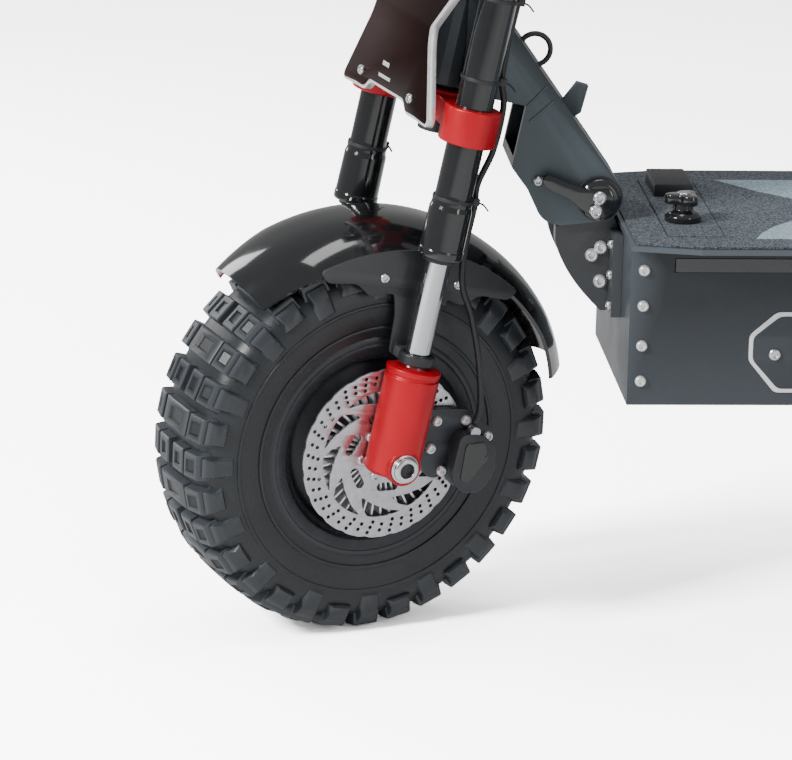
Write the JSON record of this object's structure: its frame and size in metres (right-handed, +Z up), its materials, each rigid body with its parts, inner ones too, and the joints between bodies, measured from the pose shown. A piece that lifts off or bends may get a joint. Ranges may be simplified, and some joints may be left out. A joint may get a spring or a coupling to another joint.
{
  "type": "electric kick scooter",
  "caption": "Off-road electric kick scooter with a twin-leg sprung fork, knobby tyres, folding neck, flat battery deck and sprung rear arm",
  "frame": {"origin": "on the ground, under the middle of the scooter", "axes": "+X forward, +Y to the rider's left, +Z up"},
  "size_m": [1.4774, 0.6522, 1.2973],
  "materials": {
    "gloss_black": "gloss black paint",
    "satin_black": "satin black powder coat",
    "black_plastic": "matt black moulded plastic",
    "gloss_plastic_black": "gloss black moulded plastic",
    "box_grey": "dark grey powder coat",
    "neck_grey": "blue-grey satin paint",
    "red_anodised": "red anodised aluminium",
    "chrome": "polished chrome",
    "steel": "brushed stainless steel",
    "aluminium": "machined aluminium",
    "black_aluminium": "black coated cast aluminium",
    "tyre": "satin black rubber",
    "rubber": "matt black rubber",
    "grip_tape": "grey grit sheet",
    "plate_brown": "gloss dark brown lacquer over aluminium",
    "lens": "clear moulded lens",
    "red_lens": "red moulded lens",
    "cells": "blue wrapped cells"
  },
  "bodies": {
    "deck": {"deck_box": "box_grey", "deck_plate": "box_grey", "grip_mat": "grip_tape", "battery_pack": "cells", "motor_controller": "aluminium", "charge_port": "black_plastic", "side_light_left": "lens", "side_light_right": "lens", "rear_footrest": "satin_black", "tail_light": "red_lens", "hinge_base": "satin_black", "fold_pin": "steel", "swingarm_bracket": "satin_black"},
    "hatch": {"hatch_lid": "grip_tape"},
    "hatch_latch": {"hatch_knob": "satin_black"},
    "neck": {"neck_frame": "neck_grey"},
    "fold_handle": {"fold_lever": "gloss_black"},
    "latch_pull": {"latch_ring": "steel"},
    "steering": {"lower_crown": "red_anodised", "upper_crown": "red_anodised", "fork_tube_left": "gloss_black", "fork_tube_right": "gloss_black", "front_plate": "plate_brown", "stem_column": "satin_black", "handlebar": "satin_black", "headlight": "gloss_black", "grip_left": "rubber", "grip_right": "rubber", "control_pod_left": "black_plastic", "control_pod_right": "black_plastic", "brake_hose_upper": "rubber"},
    "left_lever": {"brake_lever_left": "black_aluminium"},
    "right_lever": {"brake_lever_right": "black_aluminium"},
    "horn": {"horn_button": "gloss_plastic_black"},
    "throttle": {"throttle_trigger": "black_plastic"},
    "fork_slider": {"stanchion_left": "chrome", "stanchion_right": "chrome", "fork_lower_left": "red_anodised", "fork_lower_right": "red_anodised", "front_axle": "steel", "front_caliper": "black_aluminium", "front_fender": "gloss_plastic_black", "brake_hose_lower": "rubber"},
    "front_wheel": {"front_hub": "black_aluminium", "front_tyre": "tyre", "front_rotor": "steel"},
    "rear_arm": {"swingarm": "satin_black", "rear_axle": "steel", "rear_caliper": "black_aluminium", "rear_fender": "gloss_plastic_black"},
    "rear_wheel": {"rear_hub": "black_aluminium", "rear_tyre": "tyre", "rear_rotor": "steel"},
    "left_shock": {"shock_body_left": "aluminium", "shock_spring_left": "red_anodised"},
    "right_shock": {"shock_body_right": "aluminium", "shock_spring_right": "red_anodised"},
    "left_shock_rod": {"shock_rod_left": "chrome"},
    "right_shock_rod": {"shock_rod_right": "chrome"},
    "stand": {"kickstand": "satin_black"}
  },
  "joints": [
    {"name": "stem_fold", "type": "hinge", "parent": "deck", "child": "neck", "pos_m": [0.3403, 0, 0.4034], "axis": [0, -1, 0], "range_deg": [0, 55]},
    {"name": "fold_handle_turn", "type": "hinge", "parent": "neck", "child": "fold_handle", "pos_m": [0.3403, 0, 0.4034], "axis": [0, -1, 0], "range_deg": [0, 90]},
    {"name": "latch_pull_slide", "type": "slide", "parent": "neck", "child": "latch_pull", "axis": [-0.8161, 0, 0.5779], "range_m": [0, 0.006], "stiffness_N_per_m": 400, "springref_m": -0.002},
    {"name": "steering_turn", "type": "hinge", "parent": "neck", "child": "steering", "pos_m": [0.48174, 0, 0.4714], "axis": [-0.1951, 0, 0.9808], "range_deg": [-67, 22]},
    {"name": "fork_travel", "type": "slide", "parent": "steering", "child": "fork_slider", "axis": [-0.1951, 0, 0.9808], "range_m": [-0.012, 0.05], "stiffness_N_per_m": 12000, "springref_m": -0.03},
    {"name": "front_wheel_spin", "type": "hinge", "parent": "fork_slider", "child": "front_wheel", "pos_m": [0.55293, 0.00543, 0.17968], "axis": [-0.3801, 0.9219, -0.0756], "continuous": true},
    {"name": "left_brake_lever", "type": "hinge", "parent": "steering", "child": "left_lever", "pos_m": [0.27788, 0.18815, 1.23159], "axis": [-0.1863, -0.0183, 0.9823], "range_deg": [0, 10], "stiffness_Nm_per_rad": 6, "springref_deg": -5.73},
    {"name": "right_brake_lever", "type": "hinge", "parent": "steering", "child": "right_lever", "pos_m": [0.42494, -0.16854, 1.26084], "axis": [0.2018, -0.0192, -0.9792], "range_deg": [0, 10], "stiffness_Nm_per_rad": 6, "springref_deg": -5.73},
    {"name": "throttle_press", "type": "hinge", "parent": "steering", "child": "throttle", "pos_m": [0.40257, -0.2089, 1.25243], "axis": [0.2723, -0.9593, 0.0749], "range_deg": [0, 35], "stiffness_Nm_per_rad": 0.8, "springref_deg": -5.73},
    {"name": "horn_press", "type": "slide", "parent": "steering", "child": "horn", "axis": [0.8556, 0.4884, 0.1714], "range_m": [0, 0.002], "stiffness_N_per_m": 700, "springref_m": -0.0006},
    {"name": "swingarm_swing", "type": "hinge", "parent": "deck", "child": "rear_arm", "pos_m": [-0.331, 0, 0.262], "axis": [0, 1, 0], "range_deg": [-3.5, 8], "stiffness_Nm_per_rad": 500, "springref_deg": -6.36},
    {"name": "rear_wheel_spin", "type": "hinge", "parent": "rear_arm", "child": "rear_wheel", "pos_m": [-0.546, 0, 0.178], "axis": [0, 1, 0], "continuous": true},
    {"name": "left_shock_tilt", "type": "hinge", "parent": "deck", "child": "left_shock", "pos_m": [-0.334, 0, 0.365], "axis": [0, 1, 0], "range_deg": [-12, 12]},
    {"name": "left_shock_stroke", "type": "slide", "parent": "left_shock", "child": "left_shock_rod", "axis": [-0.6638, 0, -0.7479], "range_m": [-0.025, 0.012], "deforming": ["shock_spring_left"]},
    {"name": "right_shock_tilt", "type": "hinge", "parent": "deck", "child": "right_shock", "pos_m": [-0.334, 0, 0.365], "axis": [0, 1, 0], "range_deg": [-12, 12]},
    {"name": "right_shock_stroke", "type": "slide", "parent": "right_shock", "child": "right_shock_rod", "axis": [-0.6638, 0, -0.7479], "range_m": [-0.025, 0.012], "deforming": ["shock_spring_right"]},
    {"name": "kickstand_fold", "type": "hinge", "parent": "deck", "child": "stand", "pos_m": [0.06, 0.104, 0.22], "axis": [0, 1, 0], "range_deg": [0, 88]},
    {"name": "hatch_open", "type": "hinge", "parent": "deck", "child": "hatch", "pos_m": [0.262, -0.107, 0.386], "axis": [1, 0, 0], "range_deg": [0, 95]},
    {"name": "hatch_latch_turn", "type": "hinge", "parent": "hatch", "child": "hatch_latch", "pos_m": [0.266, 0.053, 0.4], "axis": [0, 0, 1], "range_deg": [0, 90]}
  ],
  "couplings": [
    {"joint": "left_shock_tilt", "follows": "swingarm_swing", "ratio": 0.6519},
    {"joint": "left_shock_stroke", "follows": "swingarm_swing", "m_per_rad": -0.0718},
    {"joint": "right_shock_tilt", "follows": "swingarm_swing", "ratio": 0.6519},
    {"joint": "right_shock_stroke", "follows": "swingarm_swing", "m_per_rad": -0.0718}
  ]
}
